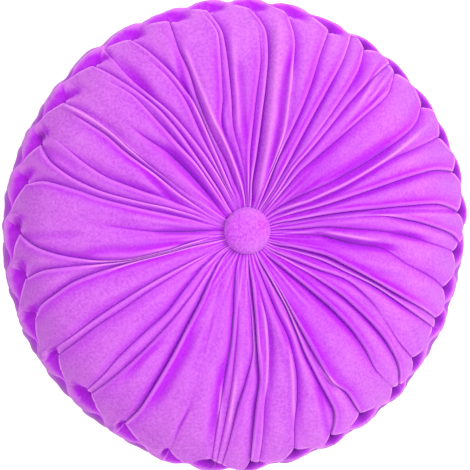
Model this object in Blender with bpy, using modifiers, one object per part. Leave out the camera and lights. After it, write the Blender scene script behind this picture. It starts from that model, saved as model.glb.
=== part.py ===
# Round pleated pumpkin cushion: one filled velvet cover with a smocked side band,
# and a covered button at the gathered hub of each face.
# Metres, +Z up. It lies on its back; the front face looks up.
import bpy
import math
import numpy as np

# ---- named sizes -------------------------------------------------------------
RING_R = 0.1822          # radius of the rim ring where the pleats are pinched
MID_Z = 0.0470           # height of the mid-plane over the floor
OVAL = 1.008             # the outline is a little wider along X
HUB_X, HUB_Y = 0.0056, 0.0024         # the front hub sits off the middle
HUB_PULL = 1.8           # how fast that offset dies away toward the rim
BUTTON_R = 0.0190        # 38 mm covered buttons
BUTTON_X, BUTTON_Y = 0.0058, 0.0054   # place of the front button
BUTTON_GAP = 0.0004      # cloth to button
BUTTON_STEPS = 40
SEAT = 0.0290            # the buttons sit this far above and below the mid-plane
SEAT_EDGE = 0.0050       # the cloth rises from the seat over this width
SEAT_SHARE = 0.2         # rows inside this share of the ring radius reach the seat
CENTRE_X, CENTRE_Y = 0.0003, 0.0011   # the middle of the outline

COLUMNS = 238            # round the cushion
COLUMN_CROWD = 0.055     # how much closer they stand beside a crease
FACE_ROWS = (0.09, 0.13, 0.18, 0.25, 0.34, 0.45, 0.57, 0.69, 0.80, 0.90, 0.96, 1.0)
BAND_ROWS = (0.16, 0.33, 0.5, 0.67, 0.84)
BACK_ROWS = (1.0, 0.93, 0.81, 0.66, 0.48, 0.32, 0.18, 0.11)

# face section: share of ring radius -> height over the mid-plane
SECTION = ((0.00, 0.0285), (0.12, 0.0300), (0.20, 0.0360), (0.30, 0.0425), (0.42, 0.0480),
           (0.55, 0.0505), (0.68, 0.0500), (0.80, 0.0465), (0.90, 0.0395), (0.96, 0.0325),
           (1.00, 0.0265))
# side band: share of the way round the side -> radius, height over the mid-plane
BAND = ((0.00, 0.1810, 0.0255), (0.16, 0.1842, 0.0190), (0.33, 0.1866, 0.0100),
        (0.50, 0.1873, 0.0000), (0.67, 0.1866, -0.0100), (0.84, 0.1842, -0.0190),
        (1.00, 0.1810, -0.0255))

# ---- pleats of the front face --------------------------------------------------
# One row per fold, in order round the face. The angle (degrees) of its crease is
# given at these shares of the ring radius:
STATIONS = (1.0, 0.90, 0.78, 0.64, 0.50, 0.36, 0.24, 0.13)
# lap: +1 the next petal lies over this crease, -1 the one before lies over it.
# deep: how deep the crease is at the shares DEEP_AT. reach: for a fold that starts
# in a pinch of the rim, the ring's local radius there; 0 for a fold that does not.
DEEP_AT = (0.95, 0.75, 0.50, 0.25)
#        rim     .90    .78    .64    .50    .36    .24    .13    lap   deep                reach
FOLDS = (
    ((-4.0, -2.3, 0.0, 2.0, 3.5, 6.0, 6.5, 9.0), 0.5, (0.35, 0.5, 0.6, 1.0), 0.99),
    ((-1.5, 2.8, 5.5, 8.2, 9.5, 11.0, 12.0, 14.5), 1.0, (0.8, 0.6, 0.0, 0.0), 0),
    ((6.5, 9.6, 10.5, 11.5, 13.0, 14.7, 16.7, 22.0), 1.0, (0.8, 0.9, 1.0, 1.0), 1.02),
    ((17.0, 19.2, 19.6, 19.7, 20.0, 20.9, 24.0, 29.0), 1.0, (0.9, 1.0, 0.9, 0.7), 1.03),
    ((26.5, 26.6, 27.1, 26.4, 25.6, 26.3, 29.5, 35.5), 0.7, (0.7, 0.8, 1.0, 0.9), 1.03),
    ((35.5, 31.8, 30.9, 30.6, 31.0, 33.5, 38.0, 43.0), 0.6, (1.0, 0.9, 0.7, 0.9), 1.04),
    ((46.5, 43.5, 44.1, 44.9, 46.5, 48.7, 48.6, 48.5), 0.6, (0.4, 0.5, 0.7, 0.8), 1.04),
    ((49.0, 50.2, 50.8, 51.0, 51.7, 53.1, 52.2, 53.0), 0.8, (0.7, 0.8, 0.8, 0.8), 0),
    ((56.5, 54.3, 53.8, 53.6, 54.3, 55.8, 55.5, 56.5), 1.0, (1.0, 0.7, 0.0, 0.0), 1.04),
    ((60.8, 59.7, 59.5, 59.4, 59.2, 58.9, 58.6, 60.0), 1.0, (0.7, 1.0, 1.0, 1.0), 0),
    ((66.5, 66.2, 65.3, 64.8, 65.2, 66.2, 66.0, 66.0), 0.8, (0.7, 0.9, 0.9, 0.9), 1.035),
    ((78.0, 74.2, 72.5, 70.3, 67.7, 67.6, 69.0, 71.0), 0.9, (0.9, 0.7, 0.7, 0.1), 1.05),
    ((87.5, 82.4, 81.2, 80.9, 80.9, 81.2, 82.5, 80.5), 1.0, (1.0, 1.0, 1.0, 1.0), 1.05),
    ((89.0, 84.5, 83.5, 84.1, 84.8, 85.8, 85.5, 85.5), 0.8, (0.0, 0.5, 0.7, 0.5), 0),
    ((98.0, 94.7, 94.2, 94.3, 95.0, 92.3, 89.6, 88.3), 0.8, (0.9, 0.9, 0.4, 0.0), 1.05),
    ((99.5, 96.1, 96.7, 98.1, 101.2, 98.2, 93.7, 91.0), 1.0, (0.3, 0.7, 0.9, 0.9), 0),
    ((108.0, 108.1, 107.4, 107.6, 107.0, 104.0, 101.3, 97.0), 0.5, (0.7, 0.7, 0.6, 0.7), 1.035),
    ((119.0, 115.6, 112.4, 109.8, 109.0, 108.3, 107.0, 103.0), 1.0, (0.9, 1.0, 0.8, 0.5), 1.035),
    ((121.0, 117.5, 114.2, 112.3, 112.4, 111.6, 111.0, 107.5), 0.8, (0.0, 0.3, 0.8, 0.3), 0),
    ((125.5, 124.9, 123.0, 119.8, 117.3, 114.8, 112.8, 111.0), 0.9, (0.3, 0.8, 0.8, 0.8), 0),
    ((130.5, 127.7, 124.8, 122.3, 121.0, 120.5, 120.2, 122.0), 0.8, (1.0, 0.9, 1.0, 1.0), 1.03),
    ((132.5, 129.7, 127.0, 126.3, 125.2, 123.5, 124.0, 127.0), 1.0, (0.0, 0.5, 1.0, 0.2), 0),
    ((136.5, 136.0, 135.5, 134.5, 132.0, 131.2, 132.4, 138.0), 0.6, (0.0, 0.0, 0.9, 1.0), 0),
    ((142.5, 141.2, 140.9, 142.0, 142.8, 143.6, 144.5, 147.0), 0.6, (0.8, 0.8, 0.2, 0.0), 1.01),
    ((144.0, 143.3, 143.2, 144.4, 145.0, 147.2, 149.0, 152.0), 1.0, (0.0, 0.9, 1.0, 0.3), 0),
    ((150.5, 152.5, 154.8, 156.4, 156.1, 154.3, 153.8, 156.0), 0.9, (0.0, 0.5, 0.9, 0.4), 0),
    ((155.0, 159.0, 161.2, 162.3, 161.7, 159.7, 158.5, 160.0), 1.0, (0.9, 0.9, 0.6, 0.3), 1.00),
    ((166.0, 163.9, 164.2, 165.1, 165.2, 164.7, 163.9, 164.0), 1.0, (1.0, 0.9, 0.9, 0.7), 1.00),
    ((173.0, 173.7, 174.0, 175.0, 176.5, 177.6, 176.8, 172.0), 0.6, (0.0, 0.0, 0.3, 1.0), 0),
    ((179.0, 183.8, 187.0, 190.0, 191.7, 191.3, 187.6, 181.5), 1.0, (0.9, 0.9, 0.8, 0.8), 1.00),
    ((191.0, 189.6, 190.1, 191.3, 192.5, 192.3, 190.0, 187.0), 1.0, (1.0, 0.9, 0.7, 0.0), 0.995),
    ((201.5, 197.6, 195.0, 193.9, 193.4, 193.2, 192.2, 191.5), 1.0, (1.0, 1.0, 1.0, 1.0), 1.00),
    ((211.0, 210.5, 209.6, 208.5, 207.3, 206.3, 206.0, 204.0), 0.8, (0.3, 0.8, 0.6, 0.4), 0),
    ((213.0, 212.6, 211.8, 211.4, 210.4, 209.5, 208.7, 208.0), 0.3, (0.8, 0.6, 0.5, 0.1), 0.99),
    ((225.0, 225.2, 224.6, 224.7, 225.3, 222.2, 217.3, 211.8), 0.6, (0.5, 0.7, 0.9, 1.0), 0),
    ((226.5, 227.7, 228.8, 229.7, 230.0, 228.8, 224.5, 217.5), 0.6, (0.7, 0.8, 0.6, 0.3), 0.99),
    ((238.5, 240.0, 240.2, 240.0, 239.0, 237.0, 231.8, 223.0), 1.0, (1.0, 1.0, 1.0, 1.0), 1.00),
    ((252.0, 252.3, 253.0, 252.5, 251.0, 248.0, 242.5, 236.0), 0.0, (0.15, 0.1, 0.1, 0.1), 1.03),
    ((263.0, 263.0, 263.2, 263.5, 263.8, 262.5, 258.8, 252.0), 0.5, (0.4, 0.7, 1.0, 1.0), 1.03),
    ((264.3, 265.0, 265.7, 266.3, 266.4, 265.5, 263.0, 258.0), 0.3, (0.4, 0.4, 0.3, 0.0), 0),
    ((265.8, 267.4, 269.2, 272.6, 275.6, 275.5, 273.5, 270.0), 0.8, (0.4, 0.8, 0.5, 0.0), 0),
    ((273.0, 274.0, 275.4, 277.5, 277.7, 278.3, 278.3, 276.5), 1.0, (1.0, 1.0, 1.0, 1.0), 1.03),
    ((275.0, 276.6, 278.0, 281.0, 283.6, 285.3, 284.5, 283.0), -0.8, (0.7, 0.6, 0.8, 0.2), 0),
    ((284.5, 286.3, 289.6, 292.6, 294.1, 292.6, 291.5, 290.0), -0.3, (0.5, 0.8, 0.9, 0.9), 1.01),
    ((295.0, 298.8, 298.6, 298.5, 299.6, 300.7, 300.2, 298.3), 1.0, (0.9, 1.0, 1.0, 1.0), 1.01),
    ((304.5, 304.6, 302.1, 301.8, 302.0, 302.4, 302.6, 303.0), 0.9, (0.9, 0.8, 0.9, 0.0), 0.99),
    ((315.5, 315.4, 317.9, 320.1, 320.9, 320.6, 319.3, 315.7), 0.9, (0.1, 0.7, 1.0, 1.0), 0.995),
    ((317.5, 323.0, 325.6, 327.6, 329.2, 329.4, 328.0, 325.0), 1.0, (0.9, 0.9, 0.7, 0.3), 0),
    ((325.0, 326.3, 329.5, 334.0, 337.0, 335.2, 333.0, 328.5), 0.8, (0.4, 0.1, 0.8, 1.0), 0.98),
    ((335.0, 336.2, 337.8, 339.6, 340.7, 342.0, 341.0, 336.5), 1.0, (0.6, 1.0, 0.8, 0.3), 0),
    ((337.5, 338.7, 339.8, 341.5, 343.8, 346.5, 345.9, 341.7), 1.0, (0.6, 1.0, 1.0, 1.0), 0.98),
    ((346.0, 348.4, 350.5, 355.0, 356.0, 359.5, 360.5, 359.5), 0.4, (0.5, 0.3, 0.6, 0.7), 0.975),
)

# depths and widths of the folds
FACE_DEEP = ((0.10, 0.0022), (0.16, 0.0045), (0.30, 0.0068), (0.50, 0.0085), (0.75, 0.0085),
             (0.92, 0.0070), (1.00, 0.0045))
BACK_DEEP = ((0.10, 0.0020), (0.20, 0.0045), (0.50, 0.0080), (0.85, 0.0080), (1.00, 0.0045))
CREASE_WIDE, CREASE_GROW = 0.0012, 0.0030   # flank width at the hub, and its growth to the rim
FLANK = 1.15             # flank of an even crease, in those widths
UNDER_MORE = 0.25        # a lapped crease is gentler on the petal below
OVER_LESS = 0.45         # and steeper on the petal above
LIP = 0.35               # rise of the lapping lip, as a share of the crease's depth
LIP_AT, LIP_WIDE = 1.6, 1.5     # its place and width beside the crease
DIP, DIP_AT, DIP_WIDE = 0.6, 2.2, 2.0       # the petal below dips on the other side
PINCH_IN = 0.0055        # stitched pinches are drawn in this far
PINCH_WIDE = 0.15        # half-width of a pinch, in pleats
PINCH_FROM = 0.93        # share of the ring radius where a pinch starts to draw in
SINK = 0.5               # a pinch sinks by this share of its pull

# grooves of the side band; widths in pleats round it, or shares of the way across it
SHARP_IN = 0.0052        # groove along the lapped edges
SHARP_OVER, SHARP_UNDER = 0.11, 0.22
SOFT_IN = 0.0034         # groove along the soft diagonals
SOFT_WIDE = 0.10
STITCH_WIDE, STITCH_TALL = 0.18, 0.12
SWELL, SWELL_AT, SWELL_WIDE = 0.0016, 0.22, 0.16   # the rise beside a lapped edge
BAND_OUT = 0.0032        # the cloth between the grooves stands proud of the band section
BAND_TURN = math.radians(100)
MIDDLE_EVEN = 0.85       # the middle of the band is this much rounder than the ring

BACK_EDGE, BACK_LIFT = 0.11, 0.15      # width of a back crease in pleats; rise of its petal
BACK_LEAN, BACK_WAVE = 0.10, 0.035     # how far the back pleats lean (radians) and wander
BACK_WAVES = 7


def curve(pairs, at):
    """Smooth monotone curve through (x, y) pairs, evaluated at an array."""
    x = np.array([p[0] for p in pairs], float)
    y = np.array([p[1] for p in pairs], float)
    step = np.diff(x)
    slope = np.diff(y) / step
    tangent = np.zeros_like(x)
    same = slope[:-1] * slope[1:] > 0
    mean = 2 * slope[:-1] * slope[1:] / np.where(same, slope[:-1] + slope[1:], 1.0)
    tangent[1:-1] = np.where(same, mean, 0.0)
    tangent[0], tangent[-1] = slope[0], slope[-1]
    at = np.clip(np.asarray(at, float), x[0], x[-1])
    i = np.clip(np.searchsorted(x, at) - 1, 0, len(x) - 2)
    t = (at - x[i]) / step[i]
    return (y[i] * (1 + 2 * t) * (1 - t) ** 2 + y[i + 1] * t * t * (3 - 2 * t)
            + step[i] * (tangent[i] * t * (1 - t) ** 2 - tangent[i + 1] * t * t * (1 - t)))


def fold_angles(share):
    """Crease angles (radians) of every fold at one share of the ring radius."""
    out = []
    for angles, lap, deep, reach in FOLDS:
        pairs = sorted(zip(STATIONS, angles))
        out.append(float(curve(pairs, share)))
    return np.radians(np.array(out))


def fold_depths(share):
    return np.array([float(curve(sorted(zip(DEEP_AT, deep)), share))
                     for angles, lap, deep, reach in FOLDS])


LAPS = np.array([row[1] for row in FOLDS])
PINCH = [(row[0][0], row[3]) for row in FOLDS if row[3] > 0]
PITCHES = len(PINCH)


def pinch_angle(q):
    """Angle of a place on the ring counted in pleats, so that whole numbers are pinches."""
    a = np.array([p[0] for p in PINCH])
    n = np.arange(-PITCHES, 2 * PITCHES)
    full = a[n % PITCHES] + 360.0 * np.floor_divide(n, PITCHES)
    return np.radians(np.interp(q, n, full))


def pinch_count(angle):
    a = np.array([p[0] for p in PINCH])
    n = np.arange(-PITCHES, 2 * PITCHES)
    full = np.radians(a[n % PITCHES] + 360.0 * np.floor_divide(n, PITCHES))
    return np.interp(angle, full, n)


def ring_reach(q):
    r = np.array([p[1] for p in PINCH])
    n = np.arange(-PITCHES, 2 * PITCHES)
    return np.interp(q, n, r[n % PITCHES])


def share_columns():
    """How many columns each gap between neighbouring folds gets, two at least."""
    mid = np.mean([fold_angles(s) for s in (1.0, 0.9, 0.7, 0.5)], axis=0)
    gap = np.diff(np.append(mid, mid[0] + 2 * math.pi))
    want = gap / gap.sum() * COLUMNS
    count = np.maximum(2, np.floor(want)).astype(int)
    while count.sum() < COLUMNS:
        count[np.argmax(want - count)] += 1
    while count.sum() > COLUMNS:
        count[np.argmax(np.where(count > 2, count - want, -COLUMNS))] -= 1
    return count


COUNT = share_columns()
START = np.concatenate([[0], np.cumsum(COUNT)[:-1]])


def columns_from(creases):
    """Column angles: one on each crease, the rest spread between, a little closer to it."""
    ends = np.append(creases, creases[0] + 2 * math.pi)
    out = []
    for k, n in enumerate(COUNT):
        u = np.arange(n) / n
        u = u - COLUMN_CROWD * np.sin(2 * math.pi * u)
        out.append(ends[k] + (ends[k + 1] - ends[k]) * u)
    return np.concatenate(out)


def pleats(angle, creases, deep, radius, wide):
    """Height of the pleats: a sharp crease at each fold, round petals between."""
    total = np.zeros_like(angle)
    for crease, depth, lap in zip(creases, deep, LAPS):
        off = ((angle - crease + math.pi) % (2 * math.pi) - math.pi) * radius / wide
        under = np.exp(np.minimum(off, 0) / (FLANK + UNDER_MORE * lap))
        over = np.exp(-np.maximum(off, 0) / (FLANK - OVER_LESS * lap))
        lip = (np.exp(-((off - LIP_AT) / LIP_WIDE) ** 2)
               - DIP * np.exp(-((off + DIP_AT) / DIP_WIDE) ** 2))
        total += depth * (LIP * lap * lip - np.where(off < 0, under, over))
    return total


def hub_pull(share):
    """Share of the hub's offset that a ring of this size still has."""
    return (1.0 - share) ** HUB_PULL


def drawn_in(q, share):
    """Inward pull of the pinches, only close to the ring."""
    near = np.abs(q - np.round(q))
    return (PINCH_IN * np.exp(-(near / PINCH_WIDE) ** 2)
            * max(0.0, (share - PINCH_FROM) / (1.0 - PINCH_FROM)))


def seated(x, y, z, seat_x, seat_y):
    """Flatten the cloth under a button and let the petals rise from its edge."""
    away = np.hypot(x - seat_x, y - seat_y)
    lift = np.clip((away - BUTTON_R) / SEAT_EDGE, 0.0, 1.0)
    return SEAT + (np.maximum(z, SEAT) - SEAT) * lift * lift * (3 - 2 * lift)


def rim_columns():
    """Places of the columns on the ring, counted in pleats: even between two pinches."""
    first = [START[k] for k, row in enumerate(FOLDS) if row[3] > 0] + [COLUMNS]
    return np.concatenate([j + np.arange(b - a) / (b - a)
                           for j, (a, b) in enumerate(zip(first, first[1:]))])


RIM_Q = rim_columns()


def front_row(share):
    creases = fold_angles(share)
    angle = columns_from(creases) if share < 1.0 else pinch_angle(RIM_Q)
    q = pinch_count(angle)
    reach = 1.0 + (ring_reach(q) - 1.0) * share ** 5
    pull = drawn_in(q, share)
    radius = share * RING_R * reach - pull
    depth = float(curve(FACE_DEEP, share))
    wide = CREASE_WIDE + CREASE_GROW * share
    z = float(curve(SECTION, share)) + depth * pleats(angle, creases, fold_depths(share),
                                                      share * RING_R, wide)
    z -= SINK * pull
    x = HUB_X * hub_pull(share) + radius * np.cos(angle)
    y = HUB_Y * hub_pull(share) + radius * np.sin(angle)
    if share < SEAT_SHARE:
        z = seated(x, y, z, BUTTON_X, BUTTON_Y)
    return np.stack([x, y, MID_Z + z], axis=1)


def band_row(t):
    """One row round the smocked side: the lapped edges run down it one pleat askew."""
    q = RIM_Q + t
    angle = pinch_angle(q)
    s = RIM_Q - np.floor(RIM_Q)
    radius = float(curve([(r[0], r[1]) for r in BAND], t))
    height = float(curve([(r[0], r[2]) for r in BAND], t))
    lapped = np.exp(-s / SHARP_OVER) + np.exp(-(1 - s) / SHARP_UNDER)
    upper = np.exp(-np.abs(t - 0.5 * (1 - s)) / SOFT_WIDE)
    lower = np.exp(-np.abs(t - (1 - 0.5 * s)) / SOFT_WIDE)
    edge = np.minimum(s, 1 - s)
    pinch = sum(np.exp(-(edge / STITCH_WIDE) ** 2 - ((t - tn) / STITCH_TALL) ** 2)
                for tn in (0.0, 0.5, 1.0))
    inward = SHARP_IN * lapped + SOFT_IN * (upper + lower) + PINCH_IN * pinch
    swell = SWELL * np.exp(-((s - SWELL_AT) / SWELL_WIDE) ** 2)
    middle = 1.0 - 2.0 * abs(t - 0.5)
    uneven = (ring_reach(q) - 1.0) * (1 - MIDDLE_EVEN * middle)
    radius = (radius + BAND_OUT + swell - inward) * (1.0 + uneven)
    z = height - SINK * inward * math.sin((0.5 - t) * BAND_TURN)
    return np.stack([radius * np.cos(angle), radius * np.sin(angle), MID_Z + z], axis=1)


def back_row(share):
    """The back is pleated the same way, one crease from each pinch, and lies on the floor."""
    q = RIM_Q + 1.0
    rim = pinch_angle(q)
    angle = rim + (BACK_LEAN + BACK_WAVE * np.sin(BACK_WAVES * rim)) * (1 - share)
    s = np.abs(q - np.round(q))
    depth = float(curve(BACK_DEEP, share))
    pull = drawn_in(q, share)
    z = float(curve(SECTION, share)) - depth * (np.exp(-s / BACK_EDGE) - BACK_LIFT) - SINK * pull
    reach = 1.0 + (ring_reach(q) - 1.0) * share ** 5
    radius = share * RING_R * reach - pull
    x = radius * np.cos(angle)
    y = radius * np.sin(angle)
    if share < SEAT_SHARE:
        z = seated(x, y, z, 0.0, 0.0)
    return np.stack([x, y, np.maximum(MID_Z - z, 0.0)], axis=1)


def apart(grid, r, c, this, other):
    """Length of one diagonal of a cell of the grid."""
    n = grid.shape[1]
    return float(np.linalg.norm(grid[r, (c + this) % n] - grid[r + 1, (c + other) % n]))


def cushion_mesh():
    rows = [front_row(s) for s in FACE_ROWS]
    rows += [band_row(t) for t in BAND_ROWS]
    rows += [back_row(s) for s in BACK_ROWS]
    grid = np.stack(rows)
    grid[:, :, 0] = grid[:, :, 0] * OVAL - CENTRE_X
    grid[:, :, 1] -= CENTRE_Y
    n_rows, n_cols = grid.shape[:2]
    verts = [tuple(p) for p in grid.reshape(-1, 3)]
    faces = []
    for r in range(n_rows - 1):
        for c in range(n_cols):
            a, b = r * n_cols + c, r * n_cols + (c + 1) % n_cols
            low_a, low_b = a + n_cols, b + n_cols
            if apart(grid, r, c, 0, 1) < apart(grid, r, c, 1, 0):
                faces += [(a, low_a, low_b), (a, low_b, b)]
            else:
                faces += [(a, low_a, b), (b, low_a, low_b)]
    for r, turn in ((0, 1), (n_rows - 1, -1)):
        middle = grid[r].mean(axis=0)
        verts.append(tuple(middle))
        k = len(verts) - 1
        for c in range(n_cols):
            a, b = r * n_cols + c, r * n_cols + (c + 1) % n_cols
            faces.append((a, b, k) if turn > 0 else (b, a, k))
    return verts, faces


# button section, from the crown down its outer side: share of its radius, height
BUTTON_SECTION = ((0.00, 0.0093), (0.22, 0.0092), (0.45, 0.0087), (0.68, 0.0076), (0.86, 0.0061),
                  (0.97, 0.0044), (1.00, 0.0026), (0.93, 0.0006), (0.80, 0.0000), (0.00, 0.0000))


def button_mesh(name):
    """The button's section, turned by the Screw modifier that add_button gives it."""
    mesh = bpy.data.meshes.new(name)
    profile = [(share * BUTTON_R, 0.0, height) for share, height in BUTTON_SECTION]
    mesh.from_pydata(profile, [(k, k + 1) for k in range(len(profile) - 1)], [])
    return mesh


def add_button(name, x, y, z, turn, home):
    thing = bpy.data.objects.new(name, button_mesh(name))
    thing.data.materials.append(velvet(name + "_velvet", (0.50, 0.08, 0.85, 1.0)))
    thing.location = (x - CENTRE_X, y - CENTRE_Y, z)
    thing.rotation_euler = (turn, 0.0, 0.0)
    screw = thing.modifiers.new("turned", "SCREW")
    screw.axis = "Z"
    screw.steps = screw.render_steps = BUTTON_STEPS
    screw.use_merge_vertices = True
    screw.merge_threshold = 0.00001
    screw.use_smooth_shade = True
    home.objects.link(thing)


def velvet(name, colour):
    material = bpy.data.materials.new(name)
    material.use_nodes = True
    shader = material.node_tree.nodes["Principled BSDF"]
    shader.inputs["Base Color"].default_value = colour
    shader.inputs["Roughness"].default_value = 0.9
    return material


def add_cushion(home):
    verts, faces = cushion_mesh()
    mesh = bpy.data.meshes.new("cushion")
    mesh.from_pydata(verts, [], faces)
    mesh.materials.append(velvet("cushion_velvet", (0.50, 0.06, 0.85, 1.0)))
    mesh.shade_smooth()
    home.objects.link(bpy.data.objects.new("cushion", mesh))


for old in list(bpy.data.objects):
    bpy.data.objects.remove(old)
home = bpy.data.collections.new("pumpkin_cushion")
bpy.context.scene.collection.children.link(home)
add_cushion(home)
add_button("front_button", BUTTON_X, BUTTON_Y, MID_Z + SEAT + BUTTON_GAP, 0.0, home)
add_button("back_button", 0.0, 0.0, MID_Z - SEAT - BUTTON_GAP, math.pi, home)
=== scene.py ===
# Round pleated pumpkin cushion in velvet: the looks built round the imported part.
# Metres, +Z up. The front face looks up; the back rests on the floor.
import math
import bpy
import numpy as np
from mathutils import Matrix


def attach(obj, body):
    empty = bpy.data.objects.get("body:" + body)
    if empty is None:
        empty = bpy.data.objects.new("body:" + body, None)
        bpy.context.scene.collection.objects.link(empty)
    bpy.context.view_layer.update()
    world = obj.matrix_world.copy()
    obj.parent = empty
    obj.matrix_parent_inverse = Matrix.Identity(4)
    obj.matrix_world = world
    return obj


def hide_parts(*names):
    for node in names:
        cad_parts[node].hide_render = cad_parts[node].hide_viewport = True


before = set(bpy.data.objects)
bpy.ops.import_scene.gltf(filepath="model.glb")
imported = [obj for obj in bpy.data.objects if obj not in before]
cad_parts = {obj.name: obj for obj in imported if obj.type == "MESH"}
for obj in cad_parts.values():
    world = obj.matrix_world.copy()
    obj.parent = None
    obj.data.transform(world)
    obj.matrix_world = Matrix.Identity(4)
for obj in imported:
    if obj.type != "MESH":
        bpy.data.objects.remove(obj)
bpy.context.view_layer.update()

# ---- named sizes -------------------------------------------------------------
MID_Z = 0.0470           # mid-plane of the cushion over the floor
FACE_R = 0.1765          # what one way of a face measures, from rim to hub
OVAL = 1.008             # the outline is a little wider along X
HUB_X, HUB_Y = 0.0056, 0.0024         # the front hub sits off the middle
CENTRE_X, CENTRE_Y = 0.0003, 0.0011   # the middle of the outline
BUTTON_R = 0.0190
BUTTON_X, BUTTON_Y = 0.0058, 0.0054
BUTTON_GAP = 0.0004      # between a button and the cloth under it
SEAT = 0.0290            # the buttons sit this far above and below the mid-plane
SEAT_EDGE = 0.0045       # the cloth rises from the seat over this width
SEAT_TUCK = 0.0005       # starting this far inside the button's edge
SEAT_IN, SEAT_OUT = 0.003, 0.006      # inside and outside that edge: here it gets free of the seat
LEAN = 0.14              # the crown of the face leans this share of its rise
LEAN_TO = math.radians(170)
LEAN_HUB, LEAN_RIM = 0.0330, 0.0272   # its rise is counted from these heights, at hub and rim

CAMERA_TILT = math.radians(8)         # off the cushion's axis
CAMERA_FROM = math.radians(170)       # toward this side
CAMERA_AWAY = 2.5
VIEW_WIDTH = 0.3867      # what the frame spans at the mid-plane
AIM_RIGHT = -0.0002      # it looks past the middle by this much
SENSOR = 36.0            # mm

COLUMNS = 1040           # round the cushion
ROWS = (44, 18, 16)      # on the face, on each half of the band and on the back
WAY_STEP = 0.002         # the section's direction is taken over this much way on both sides
CLOSER = 1.25            # the rows of the faces stand closer toward the rim
BAND_CLOSER = 1.8        # and the rows of the band toward both rings
FIRST_SHARE = 0.085      # the innermost ring of the face, under the button
BACK_SPAN = 0.905        # the rows of the back cover this share of the radius
GAP_LEAST = 10           # columns that every gap between two creases gets
GAP_SHARES = (1.0, 0.85, 0.65, 0.45)  # the gaps are measured at these shares of the radius
CROWD = 0.70             # how much closer the columns stand at the creases

# The half section from the front hub round the side to the back hub. A way of 0 to 1 is
# the share of the ring radius on the face, 1 to 2 goes down the band, 2 to 3 is the back.
#          way   radius  height over the mid-plane
SECTION = ((0.00, 0.0000, 0.0285), (0.12, 0.0212, 0.0300), (0.20, 0.0353, 0.0360),
           (0.30, 0.0530, 0.0425), (0.42, 0.0741, 0.0480), (0.55, 0.0971, 0.0505),
           (0.68, 0.1200, 0.0500), (0.80, 0.1412, 0.0465), (0.90, 0.1592, 0.0400),
           (0.96, 0.1706, 0.0335), (1.00, 0.1778, 0.0272), (1.12, 0.1846, 0.0190),
           (1.30, 0.1893, 0.0095), (1.50, 0.1905, 0.0000), (1.70, 0.1893, -0.0095),
           (1.88, 0.1846, -0.0190), (2.00, 0.1778, -0.0272), (2.04, 0.1706, -0.0335),
           (2.10, 0.1592, -0.0400), (2.20, 0.1412, -0.0465), (2.32, 0.1200, -0.0500),
           (2.45, 0.0971, -0.0505), (2.58, 0.0741, -0.0480), (2.70, 0.0530, -0.0425),
           (2.80, 0.0353, -0.0360), (2.88, 0.0212, -0.0300), (3.00, 0.0000, -0.0285))

# ---- pleats of the front face --------------------------------------------------
# One row per fold, in order round the face. The angle (degrees) of its crease is
# given at these shares of the ring radius:
STATIONS = (1.0, 0.90, 0.78, 0.64, 0.50, 0.36, 0.24, 0.13)
# lap: +1 the next petal lies over this crease, -1 the one before lies over it.
# deep: how deep the crease is at the shares DEEP_AT. reach: for a fold that starts
# in a pinch of the rim, the ring's local radius there; 0 for a fold that does not.
DEEP_AT = (0.95, 0.75, 0.50, 0.25)
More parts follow.
